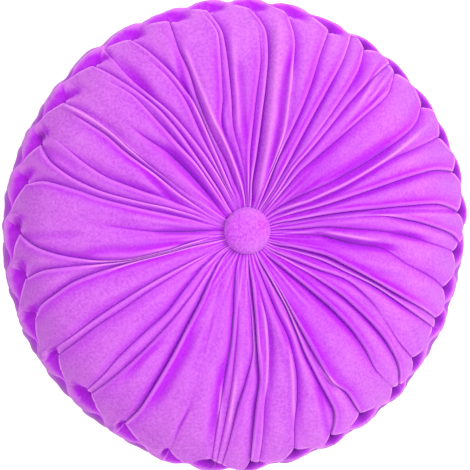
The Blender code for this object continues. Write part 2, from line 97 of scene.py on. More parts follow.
#        rim     .90    .78    .64    .50    .36    .24    .13    lap   deep                reach
FOLDS = (
    ((-4.0, -2.3, 0.0, 2.0, 3.5, 6.0, 6.5, 9.0), 0.5, (0.35, 0.5, 0.6, 1.0), 0.99),
    ((-1.5, 2.8, 5.5, 8.2, 9.5, 11.0, 12.0, 14.5), 1.0, (0.8, 0.6, 0.0, 0.0), 0),
    ((6.5, 9.6, 10.5, 11.5, 13.0, 14.7, 16.7, 22.0), 1.0, (0.8, 0.9, 1.0, 1.0), 1.02),
    ((17.0, 19.2, 19.6, 19.7, 20.0, 20.9, 24.0, 29.0), 1.0, (0.9, 1.0, 0.9, 0.7), 1.03),
    ((26.5, 26.6, 27.1, 26.4, 25.6, 26.3, 29.5, 35.5), 0.7, (0.7, 0.8, 1.0, 0.9), 1.03),
    ((35.5, 31.8, 30.9, 30.6, 31.0, 33.5, 38.0, 43.0), 0.6, (1.0, 0.9, 0.7, 0.9), 1.04),
    ((46.5, 43.5, 44.1, 44.9, 46.5, 48.7, 48.6, 48.5), 0.6, (0.4, 0.5, 0.7, 0.8), 1.04),
    ((49.0, 50.2, 50.8, 51.0, 51.7, 53.1, 52.2, 53.0), 0.8, (0.7, 0.8, 0.8, 0.8), 0),
    ((56.5, 54.3, 53.8, 53.6, 54.3, 55.8, 55.5, 56.5), 1.0, (1.0, 0.7, 0.0, 0.0), 1.04),
    ((60.8, 59.7, 59.5, 59.4, 59.2, 58.9, 58.6, 60.0), 1.0, (0.7, 1.0, 1.0, 1.0), 0),
    ((66.5, 66.2, 65.3, 64.8, 65.2, 66.2, 66.0, 66.0), 0.8, (0.7, 0.9, 0.9, 0.9), 1.035),
    ((78.0, 74.2, 72.5, 70.3, 67.7, 67.6, 69.0, 71.0), 0.9, (0.9, 0.7, 0.7, 0.1), 1.05),
    ((87.5, 82.4, 81.2, 80.9, 80.9, 81.2, 82.5, 80.5), 1.0, (1.0, 1.0, 1.0, 1.0), 1.05),
    ((89.0, 84.5, 83.5, 84.1, 84.8, 85.8, 85.5, 85.5), 0.8, (0.0, 0.5, 0.7, 0.5), 0),
    ((98.0, 94.7, 94.2, 94.3, 95.0, 92.3, 89.6, 88.3), 0.8, (0.9, 0.9, 0.4, 0.0), 1.05),
    ((99.5, 96.1, 96.7, 98.1, 101.2, 98.2, 93.7, 91.0), 1.0, (0.3, 0.7, 0.9, 0.9), 0),
    ((108.0, 108.1, 107.4, 107.6, 107.0, 104.0, 101.3, 97.0), 0.5, (0.7, 0.7, 0.6, 0.7), 1.035),
    ((119.0, 115.6, 112.4, 109.8, 109.0, 108.3, 107.0, 103.0), 1.0, (0.9, 1.0, 0.8, 0.5), 1.035),
    ((121.0, 117.5, 114.2, 112.3, 112.4, 111.6, 111.0, 107.5), 0.8, (0.0, 0.3, 0.8, 0.3), 0),
    ((125.5, 124.9, 123.0, 119.8, 117.3, 114.8, 112.8, 111.0), 0.9, (0.3, 0.8, 0.8, 0.8), 0),
    ((130.5, 127.7, 124.8, 122.3, 121.0, 120.5, 120.2, 122.0), 0.8, (1.0, 0.9, 1.0, 1.0), 1.03),
    ((132.5, 129.7, 127.0, 126.3, 125.2, 123.5, 124.0, 127.0), 1.0, (0.0, 0.5, 1.0, 0.2), 0),
    ((136.5, 136.0, 135.5, 134.5, 132.0, 131.2, 132.4, 138.0), 0.6, (0.0, 0.0, 0.9, 1.0), 0),
    ((142.5, 141.2, 140.9, 142.0, 142.8, 143.6, 144.5, 147.0), 0.6, (0.8, 0.8, 0.2, 0.0), 1.01),
    ((144.0, 143.3, 143.2, 144.4, 145.0, 147.2, 149.0, 152.0), 1.0, (0.0, 0.9, 1.0, 0.3), 0),
    ((150.5, 152.5, 154.8, 156.4, 156.1, 154.3, 153.8, 156.0), 0.9, (0.0, 0.5, 0.9, 0.4), 0),
    ((155.0, 159.0, 161.2, 162.3, 161.7, 159.7, 158.5, 160.0), 1.0, (0.9, 0.9, 0.6, 0.3), 1.00),
    ((166.0, 163.9, 164.2, 165.1, 165.2, 164.7, 163.9, 164.0), 1.0, (1.0, 0.9, 0.9, 0.7), 1.00),
    ((173.0, 173.7, 174.0, 175.0, 176.5, 177.6, 176.8, 172.0), 0.6, (0.0, 0.0, 0.3, 1.0), 0),
    ((179.0, 183.8, 187.0, 190.0, 191.7, 191.3, 187.6, 181.5), 1.0, (0.9, 0.9, 0.8, 0.8), 1.00),
    ((191.0, 189.6, 190.1, 191.3, 192.5, 192.3, 190.0, 187.0), 1.0, (1.0, 0.9, 0.7, 0.0), 0.995),
    ((201.5, 197.6, 195.0, 193.9, 193.4, 193.2, 192.2, 191.5), 1.0, (1.0, 1.0, 1.0, 1.0), 1.00),
    ((211.0, 210.5, 209.6, 208.5, 207.3, 206.3, 206.0, 204.0), 0.8, (0.3, 0.8, 0.6, 0.4), 0),
    ((213.0, 212.6, 211.8, 211.4, 210.4, 209.5, 208.7, 208.0), 0.3, (0.8, 0.6, 0.5, 0.1), 0.99),
    ((225.0, 225.2, 224.6, 224.7, 225.3, 222.2, 217.3, 211.8), 0.6, (0.5, 0.7, 0.9, 1.0), 0),
    ((226.5, 227.7, 228.8, 229.7, 230.0, 228.8, 224.5, 217.5), 0.6, (0.7, 0.8, 0.6, 0.3), 0.99),
    ((238.5, 240.0, 240.2, 240.0, 239.0, 237.0, 231.8, 223.0), 1.0, (1.0, 1.0, 1.0, 1.0), 1.00),
    ((252.0, 252.3, 253.0, 252.5, 251.0, 248.0, 242.5, 236.0), 0.0, (0.15, 0.1, 0.1, 0.1), 1.03),
    ((263.0, 263.0, 263.2, 263.5, 263.8, 262.5, 258.8, 252.0), 0.5, (0.4, 0.7, 1.0, 1.0), 1.03),
    ((264.3, 265.0, 265.7, 266.3, 266.4, 265.5, 263.0, 258.0), 0.3, (0.4, 0.4, 0.3, 0.0), 0),
    ((265.8, 267.4, 269.2, 272.6, 275.6, 275.5, 273.5, 270.0), 0.8, (0.4, 0.8, 0.5, 0.0), 0),
    ((273.0, 274.0, 275.4, 277.5, 277.7, 278.3, 278.3, 276.5), 1.0, (1.0, 1.0, 1.0, 1.0), 1.03),
    ((275.0, 276.6, 278.0, 281.0, 283.6, 285.3, 284.5, 283.0), -0.8, (0.7, 0.6, 0.8, 0.2), 0),
    ((284.5, 286.3, 289.6, 292.6, 294.1, 292.6, 291.5, 290.0), -0.3, (0.5, 0.8, 0.9, 0.9), 1.01),
    ((295.0, 298.8, 298.6, 298.5, 299.6, 300.7, 300.2, 298.3), 1.0, (0.9, 1.0, 1.0, 1.0), 1.01),
    ((304.5, 304.6, 302.1, 301.8, 302.0, 302.4, 302.6, 303.0), 0.9, (0.9, 0.8, 0.9, 0.0), 0.99),
    ((315.5, 315.4, 317.9, 320.1, 320.9, 320.6, 319.3, 315.7), 0.9, (0.1, 0.7, 1.0, 1.0), 0.995),
    ((317.5, 323.0, 325.6, 327.6, 329.2, 329.4, 328.0, 325.0), 1.0, (0.9, 0.9, 0.7, 0.3), 0),
    ((325.0, 326.3, 329.5, 334.0, 337.0, 335.2, 333.0, 328.5), 0.8, (0.4, 0.1, 0.8, 1.0), 0.98),
    ((335.0, 336.2, 337.8, 339.6, 340.7, 342.0, 341.0, 336.5), 1.0, (0.6, 1.0, 0.8, 0.3), 0),
    ((337.5, 338.7, 339.8, 341.5, 343.8, 346.5, 345.9, 341.7), 1.0, (0.6, 1.0, 1.0, 1.0), 0.98),
    ((346.0, 348.4, 350.5, 355.0, 356.0, 359.5, 360.5, 359.5), 0.4, (0.5, 0.3, 0.6, 0.7), 0.975),
)

# The creases go on over the back. There they turn by this much (radians) toward the hub,
# with wanders of a size, so many waves round the cushion and a start. A fold that has no
# pinch is shallower there, and comes in between two ways.
BACK_TURN = 0.12
BACK_WANDER = ((0.035, 7, 5.0), (0.020, 16, 1.0))
BACK_DEEP, BACK_FROM = 0.75, (2.10, 2.35)

# Soft troughs and ridges that lie on the petals between the folds.
# rise: height of a ridge, negative for a trough. wide: its half-width. path: (angle in
# degrees, share of the ring radius) from the rim inward; both its ends fade out.
#        rise     wide    path
SOFT = (
    (-0.0012, 0.0016, ((6.2, 1.02), (7.5, 0.88), (8.8, 0.72), (9.5, 0.60))),
    (0.0022, 0.0018, ((30.0, 0.93), (28.0, 0.77), (26.6, 0.52), (27.8, 0.34), (37.0, 0.18))),
    (-0.0025, 0.0050, ((31.0, 0.80), (30.5, 0.70), (31.0, 0.50))),
    (-0.0012, 0.0016, ((45.2, 0.95), (46.2, 0.70))),
    (-0.0018, 0.0040, ((54.0, 0.97), (52.5, 0.85))),
    (0.0025, 0.0030, ((73.0, 0.80), (70.0, 0.60), (67.0, 0.37))),
    (-0.0022, 0.0030, ((74.8, 0.85), (74.4, 0.68), (72.0, 0.53), (70.0, 0.30))),
    (0.0030, 0.0045, ((79.5, 0.95), (77.0, 0.57), (73.0, 0.20))),
    (-0.0020, 0.0035, ((90.5, 0.78), (90.5, 0.60), (89.0, 0.45))),
    (0.0020, 0.0030, ((92.5, 0.88), (92.0, 0.60), (92.2, 0.50))),
    (0.0026, 0.0020, ((106.5, 0.88), (105.0, 0.60), (100.0, 0.38), (94.5, 0.20))),
    (-0.0022, 0.0028, ((109.7, 0.85), (110.8, 0.66))),
    (-0.0026, 0.0045, ((124.0, 0.94), (122.0, 0.78))),
    (-0.0026, 0.0045, ((130.5, 0.52), (130.0, 0.35), (134.0, 0.17))),
    (0.0026, 0.0022, ((142.8, 0.98), (141.3, 0.80), (142.5, 0.58))),
    (-0.0022, 0.0028, ((147.0, 0.53), (149.5, 0.45), (153.8, 0.33))),
    (-0.0020, 0.0040, ((155.2, 0.98), (156.0, 0.88), (157.5, 0.80))),
    (-0.0022, 0.0030, ((177.5, 0.37), (177.0, 0.25), (174.0, 0.15))),
    (-0.0016, 0.0040, ((179.6, 0.99), (179.4, 0.86), (179.0, 0.75))),
    (-0.0024, 0.0040, ((185.5, 0.72), (185.5, 0.60), (186.5, 0.50), (186.3, 0.28))),
    (-0.0014, 0.0035, ((231.0, 0.85), (231.5, 0.70), (233.0, 0.60))),
    (-0.0024, 0.0045, ((243.0, 0.85), (243.8, 0.60), (243.0, 0.50))),
    (-0.0010, 0.0015, ((252.0, 0.92), (253.5, 0.80))),
    (-0.0020, 0.0035, ((261.5, 0.92), (261.0, 0.60))),
    (0.0018, 0.0018, ((263.5, 0.85), (262.5, 0.70))),
    (0.0020, 0.0022, ((266.5, 0.85), (267.2, 0.65))),
    (0.0018, 0.0020, ((279.0, 0.72), (282.0, 0.54), (284.5, 0.37))),
    (0.0022, 0.0022, ((286.5, 0.86), (288.0, 0.78), (292.5, 0.57))),
    (-0.0018, 0.0030, ((294.0, 0.99), (295.0, 0.92), (296.5, 0.80))),
    (0.0018, 0.0018, ((303.0, 0.86), (301.3, 0.73))),
    (-0.0012, 0.0015, ((328.0, 0.98), (332.0, 0.92))),
    (-0.0020, 0.0030, ((359.0, 0.86), (361.0, 0.72))),
    (-0.0011, 0.0012, ((46.4, 0.98), (45.8, 0.92), (45.2, 0.84))),
    (-0.0010, 0.0011, ((48.0, 0.97), (47.6, 0.92), (46.8, 0.82))),
    (0.0009, 0.0012, ((49.4, 0.96), (49.0, 0.90), (48.0, 0.80))),
    (-0.0009, 0.0012, ((50.6, 0.97), (50.4, 0.93), (49.6, 0.86))),
    (-0.0024, 0.0035, ((355.5, 0.72), (355.5, 0.60), (358.0, 0.40), (361.0, 0.33))),
    (0.0022, 0.0022, ((358.0, 0.60), (358.5, 0.55), (360.0, 0.45), (361.5, 0.38))),
)

SOFT_INNER = (-0.07, 0.06)            # it fades out over these, about the path's inner end
SOFT_OUTER = (-0.06, 0.05)            # and over these at its outer end
SOFT_SHADE, SOFT_SHADE_AT = 0.6, 0.0025        # painted shade in a trough this deep; a ridge is painted lighter
SOFT_SHADE_WIDE = 1.5                          # over this many of its half-widths

# ---- depths and widths of the folds ----------------------------------------------
#        way    depth   width of the flank, half-width of the fold-back, share of the
#        petal's width that a broad valley along the crease sinks
FOLD_SIZE = ((0.09, 0.0014, 0.0010, 0.0007, 0.10), (0.16, 0.0030, 0.0014, 0.0008, 0.11),
             (0.30, 0.0052, 0.0020, 0.0012, 0.12), (0.50, 0.0064, 0.0026, 0.0015, 0.11),
             (0.75, 0.0060, 0.0028, 0.0016, 0.075), (0.90, 0.0048, 0.0022, 0.0014, 0.040),
             (0.97, 0.0038, 0.0016, 0.0010, 0.015), (1.00, 0.0026, 0.0012, 0.0006, 0.005),
             (2.00, 0.0036, 0.0020, 0.0014, 0.010), (2.10, 0.0060, 0.0026, 0.0016, 0.045),
             (2.25, 0.0066, 0.0030, 0.0018, 0.080), (2.50, 0.0064, 0.0028, 0.0016, 0.11),
             (2.70, 0.0052, 0.0022, 0.0013, 0.11), (2.84, 0.0030, 0.0014, 0.0008, 0.11),
             (2.91, 0.0014, 0.0010, 0.0007, 0.10))
OVER_SMALL = 0.72        # a fully lapped crease is this much steeper on the lapping side
UNDER_BIG = 0.80         # and this much gentler on the petal beneath
FOLD_ROOM, FLANK_ROOM = 0.30, 0.45    # a fold-back and a flank keep to this share of the gap
BACK_0, BACK_LAP = 0.55, 1.35         # fold-back of an even crease; what a full lap adds
BACK_FULL = 1.2          # a crease folds back fully once its depth share times this is 1
# Rise of the lapping lip, as a share of the crease's depth; its place and half-width, as
# shares of the fold-back's.
LIP, LIP_AT, LIP_WIDE = 0.16, 1.1, 0.9
# Where many creases meet at the button, those shallower than this at the innermost
# station run out over these shares.
HUB_KEEP, HUB_FADE = 0.85, (0.14, 0.26)
# Painted shade, a deep saturated colour, lies along a crease: half-widths on the lapping
# petal and on the one beneath, as shares of the petal, and what's added to both (m).
SHADE_OVER, SHADE_UNDER, SHADE_LEAST = 0.18, 0.14, 0.0022
SHADE_FADE, SHADE_RIM = 0.45, (0.82, 1.0)      # it's this much less at the rim
SHADE_HUB = 0.70         # the painted shade also deepens toward the hub
VALLEY_WIDE = 0.30       # half-width of the broad valley, in petals

# ---- side band: a lattice of puffs, stitched at its corners -------------------------
# The front ring's pinches are the corners A. The petals end on a zigzag that dips from
# each A to a tip B between two pinches, and a lens of cloth lies deep under the zigzag
# at each A. Distances down the band are shares of BAND_LONG, and those round it are in
# pleats. The back ring has the same lattice, upside down.
BAND_LONG = 0.064        # length of the band's section, front ring to back ring
BAND_R = 0.19            # its mean radius
TIP_POWER = 1.3          # a power over 1 makes the petals' ends straight in plan
TIP_LEAST = 0.02         # a tip takes at least this much, to both sides of its middle
# One row for each pinch, in order round the face. before, after: how far its lens reaches
# on both sides. low, high: how far down the band those two ends are; below 0 is on the
# face. soft: 1 where the petal before the pinch runs into the lens without an edge.
#        before after  low    high   soft
LENS = ((0.33, 0.38, 0.060, 0.105, 0.0), (0.45, 0.36, 0.130, 0.085, 0.0),
        (0.45, 0.40, 0.140, 0.150, 0.0), (0.50, 0.38, 0.070, 0.080, 0.0),
        (0.40, 0.48, 0.160, 0.090, 0.0), (0.42, 0.45, 0.080, 0.080, 0.0),
        (0.38, 0.30, 0.080, 0.080, 0.0), (0.42, 0.50, 0.050, 0.050, 0.4),
        (0.47, 0.45, 0.030, 0.040, 0.9), (0.45, 0.42, 0.030, 0.040, 1.0),
        (0.40, 0.42, 0.040, 0.055, 1.0), (0.52, 0.52, 0.020, 0.060, 1.0),
        (0.39, 0.56, 0.020, 0.070, 1.0), (0.46, 0.60, 0.000, 0.130, 1.0),
        (0.48, 0.65, -0.045, 0.200, 1.0), (0.38, 0.60, 0.020, 0.150, 1.0),
        (0.42, 0.62, -0.015, 0.170, 1.0), (0.40, 0.60, 0.010, 0.130, 1.0),
        (0.43, 0.62, 0.000, 0.150, 1.0), (0.30, 0.60, 0.000, 0.150, 1.0),
        (0.20, 0.50, 0.000, 0.120, 1.0), (0.38, 0.50, 0.050, 0.100, 0.8),
        (0.12, 0.45, 0.060, 0.080, 1.0), (0.12, 0.42, 0.060, 0.100, 1.0),
        (0.40, 0.48, 0.060, 0.080, 0.3), (0.16, 0.36, 0.120, 0.065, 0.0),
        (0.27, 0.42, 0.100, 0.045, 0.0), (0.26, 0.36, 0.075, 0.065, 0.0),
        (0.42, 0.40, 0.040, 0.050, 0.0), (0.25, 0.40, 0.120, 0.090, 0.0),
        (0.30, 0.27, 0.110, 0.070, 0.0), (0.45, 0.46, 0.035, 0.160, 0.0),
        (0.40, 0.40, 0.065, 0.120, 0.0))
LENS_IN = 0.0058         # depth of a lens under the petals' edge, at its pinch
LENS_ROUND = 1.3         # it gets shallow toward its two ends by this power
LENS_FLOOR = 1.2         # and rises from the edge to its outer ridge by this one
LENS_FADE = 0.3          # its edge and tone fade where it's shallower than this share
RIDGE_NEAR, RIDGE_FAR = 0.05, 0.10    # from the edge down to the lens's outer ridge
RIDGE_UP, RIDGE_WIDE = 0.0018, 0.10
WALL, SOFT_WALL = 0.004, 0.080        # a sharp edge and a soft one drop over this
SOFT_FROM = 0.22         # an edge is fully soft this far from its pinch
SOFT_PAST = 0.4          # a soft drop goes on past the edge by this share of it
POCKET_IN, POCKET_WIDE = 0.0030, 0.14          # a sharp lens is deepest right at its pinch
LENS_SHADE = 0.9         # how much painted shade lies in it
SHADE_TO, SHADE_PAST = 0.7, 0.04      # from this share of the way to its ridge, to this far past
POCKET_SHADE_WIDE, POCKET_SHADE_POWER = 0.26, 0.5     # a sharp lens gets darker painted shade this far from its pinch
# A soft end is a furrow: its depth, half-width, and how far down it meets its pinch.
FURROW_IN, FURROW_WIDE, FURROW_AT = 0.0048, 0.058, 0.052
# Shares of its reach where the lens has gone, where the furrow is full, and where it ends.
LENS_GONE, FURROW_FULL, FURROW_END = 0.95, 0.45, (0.7, 1.3)
EDGE_UP, EDGE_WIDE = 0.0005, 0.020    # the petals' edge is rolled a little
EDGE_FADE = (0.022, 0.029)            # rows follow the zigzag this far, in and out (m)
# Below the tips the strands cross: one way they lap sharply, the other way softly.
CROSS_TOP = 0.22         # they start at this row,
CROSS_ABOVE, CROSS_BELOW = 0.08, 0.10          # and come in from so far above to so far below it
CROSS_IN, CROSS_WIDE, CROSS_UNDER = 0.0036, 0.0028, 0.0070
CROSS_SOFT_IN, CROSS_SOFT_WIDE = 0.0016, 0.0060
#            along  in pleats  depth   half-widths round and down the band
STITCHES = ((0.00, 0.0, 0.0010, 0.06, 0.05), (0.30, 0.5, 0.0036, 0.15, 0.15),
            (0.50, 0.0, 0.0020, 0.10, 0.08))
FOLDS_END = 0.07         # the face's folds run out this far down the band
MIDDLE_EVEN = 0.80       # the middle of the band is this much rounder than the ring
UNEVEN_POWER = 5         # the ring's unevenness dies away toward the hub by this power
#            height  seed  cells round and along
WRINKLES = ((0.0009, 3, 60, 9), (0.0004, 5, 150, 24))


def curve(pairs, at):
    """Smooth monotone curve through (x, y) pairs, evaluated at an array."""
    x = np.array([p[0] for p in pairs], float)
    y = np.array([p[1] for p in pairs], float)
    step = np.diff(x)
    slope = np.diff(y) / step
    tangent = np.zeros_like(x)
    same = slope[:-1] * slope[1:] > 0
    mean = 2 * slope[:-1] * slope[1:] / np.where(same, slope[:-1] + slope[1:], 1.0)
    tangent[1:-1] = np.where(same, mean, 0.0)
    tangent[0], tangent[-1] = slope[0], slope[-1]
    at = np.clip(np.asarray(at, float), x[0], x[-1])
    i = np.clip(np.searchsorted(x, at) - 1, 0, len(x) - 2)
    t = (at - x[i]) / step[i]
    return (y[i] * (1 + 2 * t) * (1 - t) ** 2 + y[i + 1] * t * t * (3 - 2 * t)
            + step[i] * (tangent[i] * t * (1 - t) ** 2 - tangent[i + 1] * t * t * (1 - t)))


def column(table, k):
    """Pairs of a table's first column and another one, for curve()."""
    return [(row[0], row[k]) for row in table]


def smooth(x, low, high):
    """Smooth step from 0 at low to 1 at high."""
    t = np.clip((x - low) / (high - low), 0.0, 1.0)
    return t * t * (3 - 2 * t)


# ---- the ring, counted in pleats ---------------------------------------------------
# The table goes more than once round, so that no angle or count runs past its ends.
PINCH = [(row[0][0], row[3]) for row in FOLDS if row[3] > 0]
PITCHES = len(PINCH)
TURNS = np.arange(-2 * PITCHES, 3 * PITCHES)
PINCH_AT = np.radians([PINCH[n % PITCHES][0] + 360.0 * (n // PITCHES) for n in TURNS])
PINCH_REACH = np.array([PINCH[n % PITCHES][1] for n in TURNS])


def pinch_count(angle):
    """Place on the ring counted in pleats, so that whole numbers are pinches."""
    return np.interp(angle, PINCH_AT, TURNS)


def ring_reach(q):
    """The ring's own radius at a place on it, as a share of the mean."""
    return np.interp(q, TURNS, PINCH_REACH)


# ---- rows and columns ---------------------------------------------------------------
def row_ways():
    """Ways of all the rows, closer together toward the rim."""
    face, band, back = ROWS
    front = 1.0 - (1 - FIRST_SHARE) * (1 - np.arange(face) / face) ** CLOSER
    half = 0.5 * (np.arange(band) / band) ** BAND_CLOSER
    side = np.concatenate([1.0 + half, [1.5], 2.0 - half[:0:-1]])
    rear = 2.0 + BACK_SPAN * (np.arange(back) / (back - 1)) ** CLOSER
    return np.concatenate([front, side, rear])


WAY = row_ways()
# Every row's share of the ring radius on its face; 1 on the band.
SHARE = np.where(WAY < 1.5, np.minimum(WAY, 1.0), np.minimum(3.0 - WAY, 1.0))
IS_FACE = WAY <= 1.0
LAPS = np.array([row[1] for row in FOLDS])


def fold_angles():
    """Crease angle (radians) of every fold on every row: folds x rows."""
    on_face = np.minimum(WAY, 1.0)
    face = np.array([np.radians(curve(sorted(zip(STATIONS, row[0])), on_face)) for row in FOLDS])
    back = np.clip(WAY - 2.0, 0.0, 1.0)
    wander = sum(size * np.sin(waves * face + start) for size, waves, start in BACK_WANDER)
    return face + (BACK_TURN + wander) * back


def fold_depths():
    """Depth share of every fold on every row; the band has a lattice of its own."""
    out = []
    for _, _, deep, reach in FOLDS:
        face = curve(sorted(zip(DEEP_AT, deep)), np.minimum(WAY, 1.0))
        if deep[-1] < HUB_KEEP:
            face = face * smooth(WAY, *HUB_FADE)
        back = 1.0 if reach > 0 else BACK_DEEP * smooth(WAY, *BACK_FROM)
        out.append(np.where(WAY <= 1.0, face, 0.0) + np.where(WAY >= 2.0, back, 0.0))
    return np.array(out)


CREASE = fold_angles()
DEEP = fold_depths()
RADIUS = curve(column(SECTION, 1), WAY)
HEIGHT = curve(column(SECTION, 2), WAY)
DEPTH = curve(column(FOLD_SIZE, 1), WAY)
FLANK = curve(column(FOLD_SIZE, 2), WAY)
FOLDED = curve(column(FOLD_SIZE, 3), WAY)
VALLEY = curve(column(FOLD_SIZE, 4), WAY)


def share_columns():
    """How many columns each gap between neighbouring folds gets."""
    rows = [int(np.argmin(np.abs(WAY - share))) for share in GAP_SHARES]
    mid = CREASE[:, rows].mean(axis=1)
    gap = np.diff(np.append(mid, mid[0] + 2 * math.pi))
    spare = COLUMNS - GAP_LEAST * len(FOLDS)
    count = GAP_LEAST + np.floor(gap / gap.sum() * spare).astype(int)
    count[np.argsort(-gap)[:COLUMNS - count.sum()]] += 1
    return count


COUNT = share_columns()
GAP = np.repeat(np.arange(len(FOLDS)), COUNT)           # which gap each column is in
ALONG = np.concatenate([np.arange(n) / n for n in COUNT])    # and how far across it
ALONG = ALONG - CROWD * np.sin(2 * math.pi * ALONG) / (2 * math.pi)


def crease_of(k):
    """Angles of fold k on every row; counts past the end carry on round."""
    n = len(FOLDS)
    return CREASE[k % n].T + 2 * math.pi * np.floor_divide(k, n)


NOMINAL = crease_of(GAP) + (crease_of(GAP + 1) - crease_of(GAP)) * ALONG    # rows x columns


def fold_relief():
    """Height, sideways shift and painted shade that the folds give each point."""
    rise = np.zeros_like(NOMINAL)
    deep_shade = np.zeros_like(NOMINAL)
    shift = np.zeros_like(NOMINAL)
    n = len(FOLDS)
    arm = RADIUS[:, None]
    depth, flank = DEPTH[:, None], FLANK[:, None]
    behind = (WAY >= 2.0)[:, None]
    for step in (-1, 0, 1, 2):
        k = GAP + step
        crease = crease_of(k)
        before = (crease - crease_of(k - 1)) * arm
        after = (crease_of(k + 1) - crease) * arm
        room = np.minimum(before, after)
        lap = np.where(behind, 1.0, LAPS[k % n])
        side = np.where(lap < 0, -1.0, 1.0)
        lap = np.abs(lap)
        deep = DEEP[k % n].T
        v = (NOMINAL - crease) * arm * side
        fold = np.minimum(FOLDED[:, None], FOLD_ROOM * room) + 1e-6
        back = (BACK_0 + BACK_LAP * lap) * np.minimum(deep * BACK_FULL, 1.0)
        shift -= side * back * v * np.exp(-(v / fold) ** 2)
        wide = np.minimum(flank, FLANK_ROOM * room) + 1e-6
        under = np.exp(-np.maximum(-v - 0.5 * fold * lap, 0) / (wide * (1 + UNDER_BIG * lap)))
        over = np.exp(-np.maximum(v, 0) / (wide * (1 - OVER_SMALL * lap)))
        lip = LIP * lap * np.exp(-((v - LIP_AT * fold) / (LIP_WIDE * fold)) ** 2)
        rise += depth * deep * (lip - np.where(v < 0, under, over))
        petal = 0.5 * (before + after)
        valley = np.exp(-((NOMINAL - crease) * arm / (VALLEY_WIDE * petal)) ** 2)
        rise -= VALLEY[:, None] * petal * np.minimum(deep, 1.0) * valley
        # Painted shade along each crease, on both petals.
        own = np.where(NOMINAL > crease, after, before)
        spread = np.where(v > 0, SHADE_OVER, SHADE_UNDER) * own + SHADE_LEAST
        deep_shade = np.maximum(deep_shade, np.minimum(deep, 1.0) * np.exp(-(v / spread) ** 2))
    return rise, shift, deep_shade * (1 - SHADE_FADE * smooth(WAY, *SHADE_RIM))[:, None]


def soft_relief(angle):
    """Troughs and ridges of the face, and their painted shade: darker in troughs, lighter on ridges.
    """
    rise = np.zeros_like(angle)
    deep_shade = np.zeros_like(angle)
    for high, wide, path in SOFT:
        pairs = sorted((share, at) for at, share in path)
        low, top = pairs[0][0], pairs[-1][0]
        centre = np.radians(curve(pairs, WAY))[:, None]
        fade = smooth(WAY, low + SOFT_INNER[0], low + SOFT_INNER[1])
        fade = fade * (1 - smooth(WAY, top + SOFT_OUTER[0], top + SOFT_OUTER[1]))
        off = (angle - centre + math.pi) % (2 * math.pi) - math.pi
        off = off * RADIUS[:, None] / wide
        shown = (fade * IS_FACE)[:, None]
        rise += high * shown * np.exp(-off ** 2)
        trough_shade = SOFT_SHADE * high / SOFT_SHADE_AT * shown
        deep_shade -= trough_shade * np.exp(-(off / SOFT_SHADE_WIDE) ** 2)
    return rise, deep_shade


def wrinkle_noise(seed, round_cells, way_cells):
    """Smooth noise over angle and way, periodic round the cushion, between -1 and 1."""
    random = np.random.RandomState(seed)
    grid = random.uniform(-1, 1, (way_cells + 2, round_cells))
    a = NOMINAL / (2 * math.pi) * round_cells
    b = np.broadcast_to((WAY / 3.0 * way_cells)[:, None], a.shape)
    i, j = np.floor(a).astype(int), np.floor(b).astype(int)
    s, t = smooth(a - i, 0, 1), smooth(b - j, 0, 1)
    near, far = i % round_cells, (i + 1) % round_cells
    above, below = np.clip(j, 0, way_cells + 1), np.clip(j + 1, 0, way_cells + 1)
    return ((grid[above, near] * (1 - s) + grid[above, far] * s) * (1 - t)
            + (grid[below, near] * (1 - s) + grid[below, far] * s) * t)


def lens_of(q):
    """The lenses on both sides of a place: the one of the pinch before it, then after."""
    table = np.array(LENS)
    i = np.floor(q).astype(int)
    return table[i % PITCHES], table[(i + 1) % PITCHES], q - i


def zigzag(q):
    """How far down the band the petals' edge is."""
    last, coming, f = lens_of(q)
    sharp = 1 - coming[..., 4]
    start, end = last[..., 1], 1 - coming[..., 0] * sharp
    middle = 0.5 * (start + end)
    start, end = np.minimum(start, middle - TIP_LEAST), np.maximum(end, middle + TIP_LEAST)
    high, low = last[..., 3], np.maximum(coming[..., 2], 0.0) * sharp
    rising = high * np.clip(f / start, 0, 1) ** TIP_POWER
    falling = low * np.clip((1 - f) / (1 - end), 0, 1) ** TIP_POWER
    share = np.clip((f - start) / (end - start), 0.0, 1.0)
    share = share * sharp + smooth(share, 0.0, 1.0) * (1 - sharp)
    return rising * (1 - share) + falling * share


def lens_relief(q, below):
    """The petals' edge and the lenses under it: relief, painted shade, and darker painted shade in
    the pockets.

    below is how far past the edge a place is. Only an end that lies before its pinch can be
    soft and run into a furrow.
    """
    last, coming, f = lens_of(q)
    relief, deep_shade, pocket_shade = np.zeros_like(below), np.zeros_like(below), np.zeros_like(below)
    for far, reach, soft, run_in in ((f, last[..., 1], last[..., 4], 0.0),
                                     (1 - f, coming[..., 0], coming[..., 4], 1.0)):
        there = 1 - run_in * soft * smooth(far / reach, 0.0, LENS_GONE)
        size = there * np.clip(1 - (far / reach) ** LENS_ROUND, 0.0, 1.0)
        gentle = run_in * soft * smooth(far, 0.0, SOFT_FROM)
        drop = smooth(below, -SOFT_WALL * gentle, WALL + SOFT_PAST * SOFT_WALL * gentle)
        ridge = RIDGE_NEAR + RIDGE_FAR * size
        hollow = np.clip(1 - np.maximum(below, 0) / ridge, 0.0, 1.0)
        pocket = POCKET_IN * (1 - soft) * np.exp(-(far / POCKET_WIDE) ** 2)
        relief -= (LENS_IN * size + pocket) * drop * hollow ** LENS_FLOOR
        swell = np.exp(-((below - ridge) / RIDGE_WIDE) ** 2) * size
        relief += RIDGE_UP * swell * smooth(below, 0, WALL)
        seen = smooth(size, 0.0, LENS_FADE)
        roll = EDGE_UP * (1 - gentle) * seen * np.exp(-(below / EDGE_WIDE) ** 2)
        relief += np.where(below <= 0, roll, 0.0)
        # Painted shade over the lens, and darker painted shade in a sharp lens's pocket.
        shown = seen * drop * (1 - smooth(below, SHADE_TO * ridge, ridge + SHADE_PAST))
        deep_shade += LENS_SHADE * shown
        pocket_shade += (1 - soft) * shown * np.exp(-(far / POCKET_SHADE_WIDE) ** 2) * hollow ** POCKET_SHADE_POWER
    return relief, deep_shade, pocket_shade


